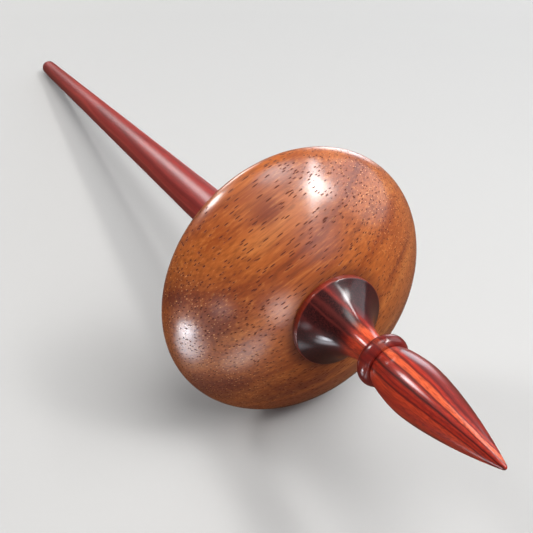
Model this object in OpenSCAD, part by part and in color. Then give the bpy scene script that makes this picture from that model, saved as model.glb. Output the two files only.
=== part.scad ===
// Hand spindle for spinning yarn: a lens-shaped whorl held between a long tapered shaft and a
// turned finial that ends in the spin point. Millimetres. The spin axis is the X axis, the spin
// point is the origin, and the shaft runs towards -X.

/* [Whorl] */
// Diameter of the whorl at its rim
whorl_d = 60; // [50:1:70]
// Height of the front face, from the rim to the finial's seat
front_h = 15.1; // [12:0.1:20]
// Height of the back face, from the rim to the shaft's seat
back_h = 10.8; // [8:0.1:15]
// Radius of the flat that the finial's flange sits on
front_flat_r = 9.3; // [8:0.1:9.6]
// Radius of the flat that the shaft's shoulder sits on
back_flat_r = 7; // [6:0.1:9]
// Fullness of the front face next to the rim
front_rim_pull = 4.7; // [3:0.1:7]
// Fullness of the front face next to the finial
front_seat_pull = 9.6; // [6:0.1:12]
// Slope of the front face where it meets the finial, in degrees
front_seat_slope = 11; // [5:1:20]
// Fullness of the back face next to the rim
back_rim_pull = 3.8; // [3:0.1:7]
// Fullness of the back face next to the shaft
back_seat_pull = 9.5; // [6:0.1:12]
// Slope of the back face where it meets the shaft, in degrees
back_seat_slope = 10; // [5:1:20]
// Diameter of the bore through the whorl
bore_d = 8; // [6:0.1:8.4]

/* [Shaft] */
// Length of the shaft that shows behind the whorl
shaft_len = 186; // [150:1:220]
// Diameter of the shaft at its shoulder
shaft_d = 10.5; // [10:0.1:11.5]
// Diameter of the shaft's thin end, before its rounding
shaft_end_d = 5.2; // [4:0.1:6]
// Length of the parallel stretch next to the shoulder
parallel_len = 12; // [8:1:20]

/* [Finial] */
// Length of the finial from its flange to the spin point
finial_len = 47.2; // [44:0.1:52]
// Diameter of the flange
flange_d = 19.2; // [18.6:0.1:20]
// Thickness of the flange's edge
flange_t = 1.2; // [0.5:0.1:1.5]
// Diameter of the neck
neck_d = 5.8; // [5:0.1:6.4]
// Length of the neck that is parallel, next to the bead
neck_len = 1.1; // [0.6:0.1:1.6]
// Diameter of the bead
bead_d = 10.6; // [10:0.1:11]
// Width of the bead
bead_w = 3.2; // [3:0.1:3.6]
// Diameter at the bottom of the groove between bead and bulb
groove_d = 6.4; // [6:0.1:6.8]
// Width of the groove between bead and bulb
groove_w = 0.3; // [0.2:0.05:0.6]
// Length of the bulb, from the groove to the spin point
bulb_len = 29.5; // [27:0.5:30]
// Diameter of the bulb at the groove
bulb_start_d = 8.2; // [7.6:0.1:8.8]
// Largest diameter of the bulb
bulb_d = 10.4; // [10:0.1:11]
// Distance from the groove to the bulb's largest diameter
bulb_at = 7.6; // [6:0.1:10]
// Radius of the rounded spin point
point_r = 0.5; // [0.4:0.1:0.8]

/* [Tenons] */
// Length of the finial's tenon in the whorl's bore
finial_tenon_len = 9; // [7:0.5:10]
// Gap for glue around each tenon
glue_gap = 0.05; // [0.03:0.01:0.1]

/* [Hidden] */

whorl_r = whorl_d / 2;
whorl_h = front_h + back_h;
bore_r = bore_d / 2;
tenon_r = bore_r - glue_gap;
tenon_chamfer = 0.6;
shaft_tenon_len = whorl_h - finial_tenon_len - 0.6;
shaft_r = shaft_d / 2;
shaft_end_r = shaft_end_d / 2;
flange_r = flange_d / 2;
neck_r = neck_d / 2;
bead_r = bead_w / 2;

// Places along the spin axis, measured from the spin point
flange_x = -finial_len;
rim_x = flange_x - front_h;
shoulder_x = flange_x - whorl_h;
bulb_x = -bulb_len;
bead_x = bulb_x - groove_w - bead_r;

// How the curves of the finial leave and reach their ends: slopes in degrees, pulls in millimetres
flange_slope = 33;
flange_pull = 5.2;
neck_pull = 4.9;
bulb_start_slope = 28;
bulb_start_pull = 1.4;
bulb_front_pull = 2.8;
bulb_back_pull = 3.9;
point_slope = 20;
point_pull = 9;

turn_fn = 128;
curve_n = 20;
arc_n = 12;

// Point at t on the cubic curve that leaves p0 towards p1 and reaches p3 from p2
function curve_point(p0, p1, p2, p3, t) =
    pow(1 - t, 3) * p0 + 3 * pow(1 - t, 2) * t * p1 + 3 * (1 - t) * t * t * p2 + pow(t, 3) * p3;

// Points along that curve, after its start
function curve(p0, p1, p2, p3) =
    [for (i = [1:curve_n]) curve_point(p0, p1, p2, p3, i / curve_n)];

// Step of a given length in the direction of an angle
function step(length, angle) = length * [cos(angle), sin(angle)];

// Points along the arc about c from angle a to angle b, after its start
function arc(c, r, a, b) = [for (i = [1:arc_n]) c + step(r, a + (b - a) * i / arc_n)];

// Solid of revolution about the X axis, from an outline of [radius, x] points
module turned(outline) {
    rotate([0, 90, 0])
        rotate_extrude($fn = turn_fn)
            polygon(outline);
}

// Wooden disc with a full, rounded rim, bored through for the two tenons
module whorl() {
    rim = [whorl_r, rim_x];
    front_seat = [front_flat_r, flange_x];
    back_seat = [back_flat_r, shoulder_x];
    color("peru")
        turned(concat(
            [[bore_r, shoulder_x], back_seat],
            curve(back_seat, back_seat + step(back_seat_pull, back_seat_slope),
                  rim - [0, back_rim_pull], rim),
            curve(rim, rim + [0, front_rim_pull],
                  front_seat + step(front_seat_pull, -front_seat_slope), front_seat),
            [[bore_r, flange_x]]
        ));
}

// Tapered shaft with a short parallel stretch, a shoulder on the whorl and a tenon in its bore
module shaft() {
    end_c = [0, shoulder_x - shaft_len + shaft_end_r];
    tenon_x = shoulder_x + shaft_tenon_len;
    color("indianred")
        turned(concat(
            [end_c - [0, shaft_end_r]],
            arc(end_c, shaft_end_r, -90, 0),
            [
                [shaft_r, shoulder_x - parallel_len],
                [shaft_r, shoulder_x],
                [tenon_r, shoulder_x],
                [tenon_r, tenon_x - tenon_chamfer],
                [tenon_r - tenon_chamfer, tenon_x],
                [0, tenon_x]
            ]
        ));
}

// Turned foot of the spindle: tenon, flange, hollow neck, bead, and a bulb that runs to a point
module finial() {
    tenon_x = flange_x - finial_tenon_len;
    flange_top = [flange_r, flange_x + flange_t];
    bead_c = [bead_d / 2 - bead_r, bead_x];
    bead_foot = acos((neck_r - bead_c.x) / bead_r);
    neck_end = bead_c + step(bead_r, -bead_foot);
    neck = neck_end - [0, neck_len];
    groove_foot = acos((groove_d / 2 - bead_c.x) / bead_r);
    bulb_start = [bulb_start_d / 2, bulb_x];
    bulb_wide = [bulb_d / 2, bulb_x + bulb_at];
    point_end = step(point_r, point_slope) - [0, point_r];
    color("firebrick")
        turned(concat(
            [
                [0, tenon_x],
                [tenon_r - tenon_chamfer, tenon_x],
                [tenon_r, tenon_x + tenon_chamfer],
                [tenon_r, flange_x],
                [flange_r, flange_x],
                flange_top
            ],
            curve(flange_top, flange_top + step(flange_pull, 180 - flange_slope),
                  neck - [0, neck_pull], neck),
            [neck_end],
            arc(bead_c, bead_r, -bead_foot, groove_foot),
            [[groove_d / 2, bulb_x], bulb_start],
            curve(bulb_start, bulb_start + step(bulb_start_pull, 90 - bulb_start_slope),
                  bulb_wide - [0, bulb_front_pull], bulb_wide),
            curve(bulb_wide, bulb_wide + [0, bulb_back_pull],
                  point_end + step(point_pull, -90 + point_slope), point_end),
            arc([0, -point_r], point_r, point_slope, 90)
        ));
}

whorl();
shaft();
finial();
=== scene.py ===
from math import acos, atan, cos, degrees, pi, radians, sin

import bmesh
import bpy
from mathutils import Matrix, Vector


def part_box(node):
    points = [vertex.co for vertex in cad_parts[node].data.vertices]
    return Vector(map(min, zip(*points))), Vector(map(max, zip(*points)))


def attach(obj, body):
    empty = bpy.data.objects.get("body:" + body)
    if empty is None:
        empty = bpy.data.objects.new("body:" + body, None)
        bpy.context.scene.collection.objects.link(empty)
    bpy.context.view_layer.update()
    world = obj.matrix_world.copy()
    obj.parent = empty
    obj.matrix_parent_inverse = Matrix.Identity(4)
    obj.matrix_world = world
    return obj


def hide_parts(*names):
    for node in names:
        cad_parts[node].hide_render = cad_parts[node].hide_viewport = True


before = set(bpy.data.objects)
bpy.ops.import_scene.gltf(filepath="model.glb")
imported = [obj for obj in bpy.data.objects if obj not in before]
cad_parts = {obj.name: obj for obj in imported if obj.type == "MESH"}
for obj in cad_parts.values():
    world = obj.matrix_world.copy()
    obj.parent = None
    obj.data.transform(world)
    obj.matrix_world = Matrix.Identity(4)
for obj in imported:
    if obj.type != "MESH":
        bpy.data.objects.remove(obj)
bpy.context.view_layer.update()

# Camera. It stands in front of the spin point, to the left of the spindle and above it, and looks
# back along it, so that the whorl fills the middle and the shaft runs away to the upper left.
mm = 0.001
camera_aim = Vector((-66.9, -4.6, 3.3)) * mm
camera_distance = 167.55 * mm
camera_turn = radians(-28.36)
camera_rise = radians(28.88)
camera_data = bpy.data.cameras.new("camera")
camera_data.sensor_width = 36
camera_data.lens = 54.03
camera_data.clip_start = 0.01
camera = bpy.data.objects.new("camera", camera_data)
bpy.context.scene.collection.objects.link(camera)
camera_back = Vector((
    cos(camera_rise) * cos(camera_turn),
    cos(camera_rise) * sin(camera_turn),
    sin(camera_rise),
))
camera.location = camera_aim + camera_back * camera_distance
camera.rotation_mode = "QUATERNION"
camera.rotation_quaternion = (-camera_back).to_track_quat("-Z", "Y")
bpy.context.scene.camera = camera
bpy.context.scene.view_settings.view_transform = "Standard"

# Studio floor. A plain pale board that touches the whorl's rim and the shaft's thin end, so it
# slopes a few degrees in the spindle's frame. Away from the spindle its paint turns into the glow of
# the backdrop behind it, so no edge shows. The lacquer mirrors it as a smaller, darker board.
whorl_low, whorl_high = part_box("whorl")
shaft_low, shaft_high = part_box("shaft")
front_h = 15.1 * mm
rim_x = whorl_high.x - front_h
shaft_end_r = 2.6 * mm
floor_slope = atan((whorl_high.z - shaft_end_r) / (rim_x - shaft_low.x - shaft_end_r))
floor_gap = 0.3 * mm
floor_z = whorl_low.z - floor_gap
floor_r = 6
pale = (0.29, 0.286, 0.28, 1)
bounce = (0.060, 0.033, 0.022, 1)
backdrop = (0.80, 0.79, 0.78, 1)
black = (0, 0, 0, 1)

bm = bmesh.new()
bmesh.ops.create_circle(bm, cap_ends=True, segments=96, radius=floor_r)
bmesh.ops.rotate(bm, verts=bm.verts, matrix=Matrix.Rotation(floor_slope, 3, "Y"))
bmesh.ops.translate(bm, verts=bm.verts, vec=(rim_x, 0, floor_z))
floor_mesh = bpy.data.meshes.new("floor")
bm.to_mesh(floor_mesh)
bm.free()
floor = bpy.data.objects.new("floor", floor_mesh)
bpy.context.scene.collection.objects.link(floor)


def feed(tree, socket, value):
    """Sets a socket to a plain value, or links it to another node's output."""
    if isinstance(value, bpy.types.NodeSocket):
        tree.links.new(value, socket)
    else:
        socket.default_value = value


def add(tree, kind, inputs=(), **settings):
    """Adds a shader node with its settings, feeds its inputs and returns it."""
    node = tree.nodes.new("ShaderNode" + kind)
    for name, value in settings.items():
        setattr(node, name, value)
    for name, value in dict(inputs).items():
        feed(tree, node.inputs[name], value)
    return node


def calc(tree, operation, *values):
    """Output of a Math node."""
    return add(tree, "Math", enumerate(values), operation=operation).outputs[0]


def distance(tree, first, second=(0, 0, 0)):
    """Distance from one point to another."""
    return add(tree, "VectorMath", {0: first, 1: second}, operation="DISTANCE").outputs["Value"]


def fade(tree, value, start, end, low=0.0, high=1.0):
    """Smooth step from low at start to high at end."""
    inputs = {"Value": value, "From Min": start, "From Max": end, "To Min": low, "To Max": high}
    return add(tree, "MapRange", inputs, interpolation_type="SMOOTHSTEP").outputs[0]


def mixed(tree, factor, first, second):
    """Colour between two colours."""
    return add(tree, "Mix", {0: factor, 6: first, 7: second}, data_type="RGBA").outputs[2]


def new_material(name):
    """Principled material, its node tree and its shader."""
    material = bpy.data.materials.new(name)
    material.use_nodes = True
    return material, material.node_tree, material.node_tree.nodes["Principled BSDF"]


floor_paint, tree, shader = new_material("floor")
reach = distance(tree, add(tree, "TexCoord").outputs["Object"], (rim_x, 0, floor_z))
seen = add(tree, "LightPath").outputs["Is Camera Ray"]
far = fade(tree, reach, 0.15, 0.62)
paint = mixed(tree, seen, bounce, mixed(tree, far, pale, black))
feed(tree, shader.inputs["Base Color"], paint)
glow = mixed(tree, calc(tree, "MULTIPLY", seen, far), black, backdrop)
feed(tree, shader.inputs["Emission Color"], glow)
shader.inputs["Emission Strength"].default_value = 1
shader.inputs["Roughness"].default_value = 0.9
shader.inputs["Specular IOR Level"].default_value = 0.2
small_board = fade(tree, reach, 0.35, 0.88, 1, 0)
feed(tree, shader.inputs["Alpha"], calc(tree, "MAXIMUM", seen, small_board))
# The glow is there for the camera and lights nothing, so it isn't searched as a lamp would be.
floor_paint.cycles.emission_sampling = "NONE"
floor_mesh.materials.append(floor_paint)

# Studio light. Soft boxes laid along the spindle, each placed where the glossy wood mirrors it: a
# key light high on the right, wide dim boxes round it, three behind the whorl, and cool ones low on
# the left. A last one above only fills the shadows and isn't mirrored.
world = bpy.data.worlds.new("studio")
bpy.context.scene.world = world
world.use_nodes = True
tree = world.node_tree
tree.nodes.clear()
room = add(tree, "Background", {"Color": (0.80, 0.85, 0.95, 1), "Strength": 0.04})
sky = add(tree, "Background", {"Color": backdrop, "Strength": 1})
seen = add(tree, "LightPath").outputs["Is Camera Ray"]
mix = add(tree, "MixShader", {0: seen, 1: room.outputs[0], 2: sky.outputs[0]})
add(tree, "OutputWorld", {"Surface": mix.outputs[0]})
spindle = bpy.data.collections.new("spindle")
box_distance = 0.7
plain = (1, 1, 1)
cool = (0.86, 0.92, 1)


def times(tree, vector, scale):
    """The vector multiplied by the scale, axis by axis."""
    return add(tree, "VectorMath", {0: vector, 1: scale}, operation="MULTIPLY").outputs[0]


def softbox(name, along, around, length, width, power, core=0.1, tint=plain, under_table=False,
            mirrored=True):
    """Soft box that faces the whorl, bright in its core and dark at its edge, long way with the
    spindle. Its place is turned around the spindle from +Y towards +Z, then tilted along to +X. One
    that is under the table shines through it, on the spindle only."""
    data = bpy.data.lights.new(name, "AREA")
    data.shape = "RECTANGLE"
    data.size = length
    data.size_y = width
    data.energy = power
    data.color = tint
    data.use_nodes = True
    tree = data.node_tree
    spot = times(tree, add(tree, "NewGeometry").outputs["Parametric"], (1, 1, 0))
    strength = fade(tree, distance(tree, spot, (0.5, 0.5, 0)), 0.5, core / 2)
    feed(tree, tree.nodes["Emission"].inputs["Strength"], strength)
    lamp = bpy.data.objects.new(name, data)
    bpy.context.scene.collection.objects.link(lamp)
    tilt = radians(along)
    turn = radians(around)
    away = Vector((sin(tilt), cos(tilt) * cos(turn), cos(tilt) * sin(turn)))
    lamp.location = Vector((rim_x, 0, 0)) + away * box_distance
    side = away.cross(Vector((1, 0, 0))).normalized()
    lamp.rotation_mode = "QUATERNION"
    lamp.rotation_quaternion = Matrix((side.cross(away), side, away)).transposed().to_quaternion()
    lamp.visible_camera = False
    lamp.visible_glossy = mirrored
    if under_table:
        lamp.light_linking.receiver_collection = spindle
        lamp.light_linking.blocker_collection = spindle


softbox("key_box", 24, 59, 0.90, 0.13, 8.0, core=0.3)
softbox("key_core", 31, 56, 0.26, 0.36, 6.8)
softbox("side_box", 12, 27, 0.62, 0.62, 2.2, core=0.8, tint=cool)
softbox("top_box", 9, 84, 0.60, 0.50, 6.4)
softbox("front_box", 60, 45, 0.55, 0.55, 1.6, tint=cool)
softbox("rear_box", -58, 96, 0.26, 0.42, 5.2)
softbox("bulb_box", -27, 126, 0.46, 0.22, 11.0)
softbox("rim_box", -38, 24, 0.46, 0.52, 4.2, core=0.3, tint=cool)
softbox("left_box", 8, 224, 0.46, 0.30, 3.3, core=0.3, tint=cool, under_table=True)
softbox("left_core", 14, 213, 0.34, 0.19, 5.4, tint=cool, under_table=True)
softbox("low_box", 38, 245, 0.70, 0.26, 2.0, tint=cool, under_table=True)
softbox("front_card", 72, 247, 0.36, 0.36, 2.4, tint=cool, under_table=True)
softbox("low_card", 45, 201, 0.24, 0.24, 0.5, tint=cool, under_table=True)
softbox("fill_box", 32, 84, 0.80, 0.80, 13.0, core=0.6, mirrored=False)

# Whorl. A lens-shaped disc of a warm golden-brown hardwood, turned on a lathe, bored through its
# middle for the two tenons and finished with a clear gloss lacquer. Its pores show through it.
front_x = whorl_high.x
back_x = whorl_low.x
whorl_r = whorl_high.y
bore_r = 4 * mm
bore_edge = 0.3 * mm
front_flat_r = 9.3 * mm
front_rim_pull = 4.7 * mm
front_seat_pull = 9.6 * mm
front_seat_slope = -11
back_flat_r = 7 * mm
back_rim_pull = 3.8 * mm
back_seat_pull = 9.5 * mm
back_seat_slope = 10


def step(length, angle):
    """Step of a given length in the direction of an angle, in degrees."""
    return Vector((cos(radians(angle)), sin(radians(angle)))) * length


def curve(p0, p1, p2, p3, count):
    """Points on the cubic curve that leaves p0 towards p1 and reaches p3 from p2, after p0."""
    points = []
    for i in range(1, count + 1):
        t = i / count
        s = 1 - t
        points.append(s ** 3 * p0 + 3 * s * s * t * p1 + 3 * s * t * t * p2 + t ** 3 * p3)
    return points


def turned(name, outline, steps, edge, closed=False):
    """Piece turned about the X axis from [radius, x] points, its crisp corners eased by edge."""
    bm = bmesh.new()
    points = [bm.verts.new((x, 0, radius)) for radius, x in outline]
    if closed:
        points.append(points[0])
    chain = [bm.edges.new(pair) for pair in zip(points, points[1:])]
    bmesh.ops.spin(bm, geom=bm.verts[:] + chain, cent=(0, 0, 0), axis=(1, 0, 0), angle=2 * pi,
                   steps=steps, use_merge=True)
    bmesh.ops.remove_doubles(bm, verts=bm.verts, dist=0.001 * mm)
    bmesh.ops.recalc_face_normals(bm, faces=bm.faces)
    crisp = [e for e in bm.edges if e.is_manifold and e.calc_face_angle() > radians(33)]
    bmesh.ops.bevel(bm, geom=crisp, offset=edge, affect="EDGES", segments=2, profile=0.5,
                    material=-1)
    for face in bm.faces:
        face.smooth = True
    mesh = bpy.data.meshes.new(name)
    bm.to_mesh(mesh)
    bm.free()
    mesh.set_sharp_from_angle(angle=radians(50))
    piece = bpy.data.objects.new(name, mesh)
    bpy.context.scene.collection.objects.link(piece)
    spindle.objects.link(piece)
    return piece


rim = Vector((whorl_r, rim_x))
front_seat = Vector((front_flat_r, front_x))
back_seat = Vector((back_flat_r, back_x))
outline = [Vector((bore_r, back_x)), back_seat]
outline += curve(back_seat, back_seat + step(back_seat_pull, back_seat_slope),
                 rim - Vector((0, back_rim_pull)), rim, 40)
outline += curve(rim, rim + Vector((0, front_rim_pull)),
                 front_seat + step(front_seat_pull, front_seat_slope), front_seat, 40)
outline += [Vector((bore_r, front_x))]
whorl = turned("whorl_disc", outline, 256, bore_edge, closed=True)


def group_socket(group, name, kind, side, value=None):
    """A named input or output of a node group."""
    socket = group.interface.new_socket(name=name, in_out=side, socket_type="NodeSocket" + kind)
    if value is not None:
        socket.default_value = value


# The grain of all three woods. It runs along X, and its layers are rings about the tree's pith, a
# line along X through a place beside the piece.
grain = bpy.data.node_groups.new("wood_grain", "ShaderNodeTree")
group_socket(grain, "Vector", "Vector", "INPUT")
group_socket(grain, "Pith", "Vector", "INPUT")
group_socket(grain, "Layer Width", "Float", "INPUT", 4 * mm)
group_socket(grain, "Wander", "Float", "INPUT", 3 * mm)
group_socket(grain, "Fibre Width", "Float", "INPUT", 0.3 * mm)
group_socket(grain, "Pore Spacing", "Float", "INPUT", 0.65 * mm)
group_socket(grain, "Pore Size", "Float", "INPUT", 0.2)
group_socket(grain, "Layers", "Float", "OUTPUT")
group_socket(grain, "Fibres", "Float", "OUTPUT")
group_socket(grain, "Pores", "Float", "OUTPUT")
group_socket(grain, "Clouds", "Float", "OUTPUT")
given = grain.nodes.new("NodeGroupInput").outputs
made = grain.nodes.new("NodeGroupOutput").inputs
across_x = (0, 1, 1)
fibre_lengths = 15
pore_lengths = 6


def stretched(tree, vector, along, across):
    """The vector counted in lengths of along the grain and of across it."""
    per_across = calc(tree, "DIVIDE", 1, across)
    scale = {0: calc(tree, "DIVIDE", 1, along), 1: per_across, 2: per_across}
    return times(tree, vector, add(tree, "CombineXYZ", scale).outputs[0])


def noise(tree, vector, detail=2.0, roughness=0.5):
    """Soft noise about 0.5, once per unit of the vector."""
    inputs = {"Vector": vector, "Scale": 1, "Detail": detail, "Roughness": roughness}
    return add(tree, "TexNoise", inputs).outputs[0]


def specks(tree, vector):
    """Distance to the nearest of points that are strewn about once per unit of the vector."""
    return add(tree, "TexVoronoi", {"Vector": vector, "Scale": 1}).outputs["Distance"]


sway = noise(grain, stretched(grain, given["Vector"], 50 * mm, 14 * mm), 1.5)
sway = calc(grain, "MULTIPLY", calc(grain, "SUBTRACT", sway, 0.5), given["Wander"])
from_pith = distance(grain, times(grain, given["Vector"], across_x), given["Pith"])
ring = calc(grain, "DIVIDE", calc(grain, "ADD", from_pith, sway), given["Layer Width"])
layers = add(grain, "TexNoise", {"W": ring, "Scale": 1, "Detail": 4, "Roughness": 0.6},
             noise_dimensions="1D")
feed(grain, made["Layers"], layers.outputs[0])
fibre_length = calc(grain, "MULTIPLY", given["Fibre Width"], fibre_lengths)
fibres = stretched(grain, given["Vector"], fibre_length, given["Fibre Width"])
feed(grain, made["Fibres"], noise(grain, fibres, 3, 0.6))
pore_length = calc(grain, "MULTIPLY", given["Pore Spacing"], pore_lengths)
pores = specks(grain, stretched(grain, given["Vector"], pore_length, given["Pore Spacing"]))
pore_bottom = calc(grain, "MULTIPLY", given["Pore Size"], 0.6)
feed(grain, made["Pores"], fade(grain, pores, given["Pore Size"], pore_bottom))
clouds = stretched(grain, given["Vector"], 22 * mm, 8 * mm)
feed(grain, made["Clouds"], noise(grain, clouds, 3))


def ramp(tree, factor, stops, interpolation="EASE"):
    """Colour ramp through (position, colour) stops."""
    node = add(tree, "ValToRGB", {0: factor})
    elements = node.color_ramp.elements
    node.color_ramp.interpolation = interpolation
    while len(elements) < len(stops):
        elements.new(1)
    for element, (position, colour) in zip(elements, stops):
        element.position = position
        element.color = colour
    return node.outputs[0]


# The whorl's grain runs across the spindle and slopes up to the right. Its dark patches, partly the
# wood's own figure and partly painted shade on the lower left and the bottom, are given by their
# place along the grain and across it, their length and width in mm, and their strength.
grain_slope = radians(27.7)
grain_turn = Matrix.Rotation(grain_slope, 3, "X") @ Matrix.Rotation(pi / 2, 3, "Z")
pith = (0, 60 * mm, -140 * mm)
dark_figure_and_shade = [
    (0.5, 24.5, 5.5, 4, 0.75),
    (-22, 20, 7, 4, 0.4),
    (-19, 12, 6, 8, 0.75),
    (-27, -5, 14, 7, 0.75),
    (-10, -12, 15, 1.8, 0.6),
    (-14, -22, 20, 4, 0.4),
    (-20, -10, 6, 3.5, 0.6),
    (18, -2, 11, 0.8, 0.6),
    (-3, 20, 9, 0.8, 0.5),
    (15, 12, 9, 1.2, 0.4),
]
figure_and_shade_brown = (0.100, 0.014, 0.004, 1)
streak_brown = (0.075, 0.015, 0.003, 1)
sheen_gold = (0.42, 0.155, 0.035, 1)
pore_brown = (0.060, 0.010, 0.004, 1)
fleck_and_glint_gold = (0.80, 0.38, 0.15, 1)
seat_shade_brown = (0.07, 0.014, 0.005, 1)

whorl_wood, tree, shader = new_material("whorl_wood")
middle = add(tree, "TexCoord").outputs["Object"]
turn = {"Vector": middle, "Rotation": grain_turn.to_euler()}
place = add(tree, "Mapping", turn, vector_type="TEXTURE").outputs[0]
wood = add(tree, "Group", {
    "Vector": place,
    "Pith": pith,
    "Layer Width": 7 * mm,
    "Wander": 10 * mm,
    "Fibre Width": 0.5 * mm,
    "Pore Spacing": 0.52 * mm,
    "Pore Size": 0.30,
}, node_tree=grain).outputs
figure = calc(tree, "MULTIPLY", calc(tree, "ADD", wood["Layers"], wood["Clouds"]), 0.5)
colour = ramp(tree, figure, [
    (0.30, (0.115, 0.018, 0.003, 1)),
    (0.42, (0.190, 0.038, 0.006, 1)),
    (0.53, (0.260, 0.064, 0.011, 1)),
    (0.68, (0.350, 0.112, 0.026, 1)),
])
ragged = calc(tree, "MULTIPLY", wood["Clouds"], 1.6)
# Dark patches: the wood's own figure, with painted shade on the lower left and the bottom.
for along, across, length, width, strength in dark_figure_and_shade:
    spot = times(tree, place, (1 / (length * mm), 0, 1 / (width * mm)))
    reach = distance(tree, spot, (along / length, 0, across / width))
    dark_patch = fade(tree, calc(tree, "ADD", reach, ragged), 1.8, 0.9, 0, strength)
    colour = mixed(tree, dark_patch, colour, figure_and_shade_brown)
colour = mixed(tree, fade(tree, wood["Fibres"], 0.47, 0.66, 0, 0.45), colour, streak_brown)
colour = mixed(tree, fade(tree, wood["Fibres"], 0.46, 0.28, 0, 0.35), colour, sheen_gold)
colour = mixed(tree, calc(tree, "MULTIPLY", wood["Pores"], 0.9), colour, pore_brown)
along = calc(tree, "ABSOLUTE", add(tree, "SeparateXYZ", {0: place}).outputs["X"])
end_grain = fade(tree, along, 10 * mm, 23 * mm, 0, 0.55)
# Pale flecks towards the ends of the grain: partly the wood's own flecks, partly painted glints of
# light on its pores.
flecks_and_glints = fade(tree, specks(tree, stretched(tree, place, 3 * mm, 0.5 * mm)), 0.23, 0.10)
colour = mixed(tree, calc(tree, "MULTIPLY", flecks_and_glints, end_grain), colour, fleck_and_glint_gold)
# Painted shade: the whorl darkens in a ring round the flange, where the finial meets it.
from_axis = distance(tree, times(tree, middle, across_x))
colour = mixed(tree, fade(tree, from_axis, 12.5 * mm, 9.6 * mm, 0, 0.6), colour, seat_shade_brown)
feed(tree, shader.inputs["Base Color"], colour)
feed(tree, shader.inputs["Roughness"], fade(tree, wood["Pores"], 0, 1, 0.42, 0.8))
shader.inputs["Specular IOR Level"].default_value = 0.3
feed(tree, shader.inputs["Coat Weight"], fade(tree, wood["Pores"], 0, 1, 0.9, 0))
shader.inputs["Coat Roughness"].default_value = 0.18
height = calc(tree, "MULTIPLY", wood["Pores"], -1)
bump = add(tree, "Bump", {"Height": height, "Strength": 0.6, "Distance": 0.15 * mm})
feed(tree, shader.inputs["Normal"], bump.outputs[0])
whorl.data.materials.append(whorl_wood)
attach(whorl, "root")
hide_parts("whorl")

# Finial. The spindle's foot, turned from one piece of a dark red striped rosewood and polished. Its
# tenon is glued in the whorl's bore; then come a flange and hollow neck, a bead, and a bulb that
# runs to a point.
finial_low, finial_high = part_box("finial")
tenon_r = 3.95 * mm
tenon_chamfer = 0.6 * mm
corner_edge = 0.12 * mm
flange_r = finial_high.z
flange_t = 1.2 * mm
flange_slope = 147
flange_pull = 5.2 * mm
neck_r = 2.9 * mm
neck_len = 1.1 * mm
neck_pull = 4.9 * mm
bead_r = 1.6 * mm
bead_out_r = 5.3 * mm
groove_r = 3.2 * mm
groove_w = 0.3 * mm
bulb_x = -29.5 * mm
bulb_start_r = 4.1 * mm
bulb_start_slope = 62
bulb_start_pull = 1.4 * mm
bulb_r = 5.2 * mm
bulb_at = 7.6 * mm
bulb_front_pull = 2.8 * mm
bulb_back_pull = 3.9 * mm
point_r = 0.5 * mm
point_slope = 20
point_pull = 9 * mm


def arc(centre, radius, start, end, count):
    """Points along an arc, after its start; angles in degrees."""
    return [centre + step(radius, start + (end - start) * i / count) for i in range(1, count + 1)]


flange_top = Vector((flange_r, front_x + flange_t))
bead = Vector((bead_out_r - bead_r, bulb_x - groove_w - bead_r))
bead_foot = -degrees(acos((neck_r - bead.x) / bead_r))
bead_top = degrees(acos((groove_r - bead.x) / bead_r))
neck_end = bead + step(bead_r, bead_foot)
neck = neck_end - Vector((0, neck_len))
bulb_start = Vector((bulb_start_r, bulb_x))
bulb_wide = Vector((bulb_r, bulb_x + bulb_at))
point = Vector((0, -point_r))
point_end = point + step(point_r, point_slope)
outline = [
    Vector((0, finial_low.x)),
    Vector((tenon_r - tenon_chamfer, finial_low.x)),
    Vector((tenon_r, finial_low.x + tenon_chamfer)),
    Vector((tenon_r, front_x)),
    Vector((flange_r, front_x)),
    flange_top,
]
outline += curve(flange_top, flange_top + step(flange_pull, flange_slope),
                 neck - Vector((0, neck_pull)), neck, 36)
outline += [neck_end]
outline += arc(bead, bead_r, bead_foot, bead_top, 24)
outline += [Vector((groove_r, bulb_x)), bulb_start]
outline += curve(bulb_start, bulb_start + step(bulb_start_pull, bulb_start_slope),
                 bulb_wide - Vector((0, bulb_front_pull)), bulb_wide, 20)
outline += curve(bulb_wide, bulb_wide + Vector((0, bulb_back_pull)),
                 point_end + step(point_pull, point_slope - 90), point_end, 36)
outline += arc(point, point_r, point_slope, 90, 8)
finial = turned("finial_foot", outline, 192, corner_edge)

# Stripes run along the finial as leaning layers that draw together at the point. They are dark on
# the flange, orange-red from the neck on, and a darker maroon on the bead.
stripe_lean = (0, 0.75, 0.66)
stripes_w = 12 * mm
heel_start = -36.2 * mm
heel_end = -40.5 * mm
waist_x = -35.3 * mm
dark = (0.010, 0.0015, 0.0015, 1)
coal = (0.045, 0.006, 0.005, 1)
plum = (0.060, 0.008, 0.006, 1)
maroon = (0.070, 0.006, 0.006, 1)
red = (0.175, 0.012, 0.007, 1)
brick = (0.310, 0.021, 0.009, 1)
ember = (0.420, 0.036, 0.012, 1)
flame = (0.450, 0.042, 0.014, 1)
orange = (0.500, 0.078, 0.026, 1)
waist_red = (0.44, 0.052, 0.017, 1)
bead_maroon = (0.085, 0.006, 0.005, 1)
flange_edge_and_glint_red = (0.28, 0.028, 0.010, 1)
streak_plum = (0.060, 0.008, 0.007, 1)

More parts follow.
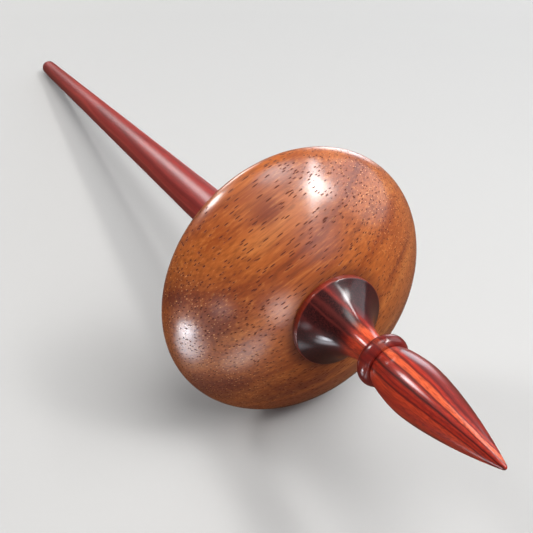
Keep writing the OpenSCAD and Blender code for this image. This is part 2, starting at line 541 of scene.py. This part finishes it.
finial_wood, tree, shader = new_material("finial_wood")
place = add(tree, "TexCoord").outputs["Object"]
wood = add(tree, "Group", {
    "Vector": place,
    "Pith": pith,
    "Layer Width": 2 * mm,
    "Wander": 2 * mm,
    "Fibre Width": 0.22 * mm,
    "Pore Spacing": 0.8 * mm,
    "Pore Size": 0.1,
}, node_tree=grain).outputs
along = add(tree, "SeparateXYZ", {0: place}).outputs["X"]
leaning = add(tree, "VectorMath", {0: place, 1: stripe_lean}, operation="DOT_PRODUCT")
squeeze = fade(tree, along, -25 * mm, 0, 1, 0.42)
across = calc(tree, "DIVIDE", leaning.outputs["Value"], squeeze)
wobble = noise(tree, stretched(tree, place, 14 * mm, 2.2 * mm), 3, 0.6)
wobble = calc(tree, "MULTIPLY", calc(tree, "SUBTRACT", wobble, 0.5), 0.8 * mm)
across = calc(tree, "DIVIDE", calc(tree, "ADD", across, wobble), stripes_w)
across = calc(tree, "ADD", across, 0.5)
colour = ramp(tree, across, [
    (0.00, dark),
    (0.08, ember),
    (0.14, brick),
    (0.19, ember),
    (0.27, flame),
    (0.305, maroon),
    (0.335, brick),
    (0.38, red),
    (0.42, brick),
    (0.455, dark),
    (0.49, red),
    (0.55, brick),
    (0.59, maroon),
    (0.615, orange),
    (0.69, orange),
    (0.715, maroon),
    (0.75, brick),
    (0.80, maroon),
    (0.87, red),
    (1.00, dark),
], "LINEAR")
heel = ramp(tree, across, [
    (0.00, dark),
    (0.18, coal),
    (0.24, dark),
    (0.40, dark),
    (0.43, plum),
    (0.46, dark),
    (0.55, plum),
    (0.60, dark),
    (0.70, dark),
    (0.76, red),
    (0.80, maroon),
    (0.90, dark),
], "LINEAR")
colour = mixed(tree, fade(tree, along, heel_start, heel_end), colour, heel)
from_waist = calc(tree, "ABSOLUTE", calc(tree, "SUBTRACT", along, waist_x))
colour = mixed(tree, fade(tree, from_waist, 3.5 * mm, 1 * mm, 0, 0.5), colour, waist_red)
from_bead = calc(tree, "ABSOLUTE", calc(tree, "SUBTRACT", along, bead.y))
colour = mixed(tree, fade(tree, from_bead, 2.2 * mm, 1.2 * mm, 0, 0.8), colour, bead_maroon)
from_axis = distance(tree, times(tree, place, across_x))
# The flange's edge is a brighter red: partly the lighter wood where the edge is cut, partly a
# painted glint of light along it.
colour = mixed(tree, fade(tree, from_axis, 9.35 * mm, 9.6 * mm, 0, 0.5), colour, flange_edge_and_glint_red)
colour = mixed(tree, fade(tree, wood["Fibres"], 0.35, 0.75, 0, 0.7), colour, streak_plum)
feed(tree, shader.inputs["Base Color"], colour)
shader.inputs["Roughness"].default_value = 0.4
shader.inputs["Specular IOR Level"].default_value = 0.15
shader.inputs["Coat Weight"].default_value = 0.55
shader.inputs["Coat Roughness"].default_value = 0.09
finial.data.materials.append(finial_wood)
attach(finial, "root")
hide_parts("finial")

# Shaft. A long tapered stick of a pinkish-red straight-grained hardwood, turned and lacquered. Its
# shoulder bears on the back of the whorl and its tenon is glued in the bore; its thin end is round,
# with painted shade darkening the wood towards it.
shaft_r = shaft_high.z
parallel_len = 12 * mm
end_centre = Vector((0, shaft_low.x + shaft_end_r))
taper_thin = end_centre + Vector((shaft_end_r, 0))
taper_thick = Vector((shaft_r, back_x - parallel_len))
taper_count = 40
outline = [Vector((0, shaft_low.x))]
outline += arc(end_centre, shaft_end_r, -90, 0, 16)
outline += [taper_thin.lerp(taper_thick, i / taper_count) for i in range(1, taper_count + 1)]
outline += [
    Vector((shaft_r, back_x)),
    Vector((tenon_r, back_x)),
    Vector((tenon_r, shaft_high.x - tenon_chamfer)),
    Vector((tenon_r - tenon_chamfer, shaft_high.x)),
    Vector((0, shaft_high.x)),
]
shaft = turned("shaft_stick", outline, 96, corner_edge)

streak_red = (0.10, 0.010, 0.008, 1)
end_shade_red = (0.07, 0.005, 0.004, 1)

shaft_wood, tree, shader = new_material("shaft_wood")
place = add(tree, "TexCoord").outputs["Object"]
wood = add(tree, "Group", {
    "Vector": place,
    "Pith": pith,
    "Layer Width": 1.5 * mm,
    "Wander": 3 * mm,
    "Fibre Width": 0.25 * mm,
    "Pore Spacing": 0.7 * mm,
    "Pore Size": 0.12,
}, node_tree=grain).outputs
colour = ramp(tree, wood["Layers"], [
    (0.30, (0.10, 0.007, 0.006, 1)),
    (0.50, (0.19, 0.015, 0.012, 1)),
    (0.72, (0.29, 0.036, 0.028, 1)),
])
colour = mixed(tree, fade(tree, wood["Fibres"], 0.40, 0.70, 0, 0.5), colour, streak_red)
along = add(tree, "SeparateXYZ", {0: place}).outputs["X"]
# Painted shade: the colour darkens towards the thin end, which lies out of the light.
colour = mixed(tree, fade(tree, along, -190 * mm, -255 * mm, 0, 0.45), colour, end_shade_red)
feed(tree, shader.inputs["Base Color"], colour)
shader.inputs["Roughness"].default_value = 0.5
shader.inputs["Specular IOR Level"].default_value = 0.15
shader.inputs["Coat Weight"].default_value = 0.6
shader.inputs["Coat Roughness"].default_value = 0.32
shaft.data.materials.append(shaft_wood)
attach(shaft, "root")
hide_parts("shaft")
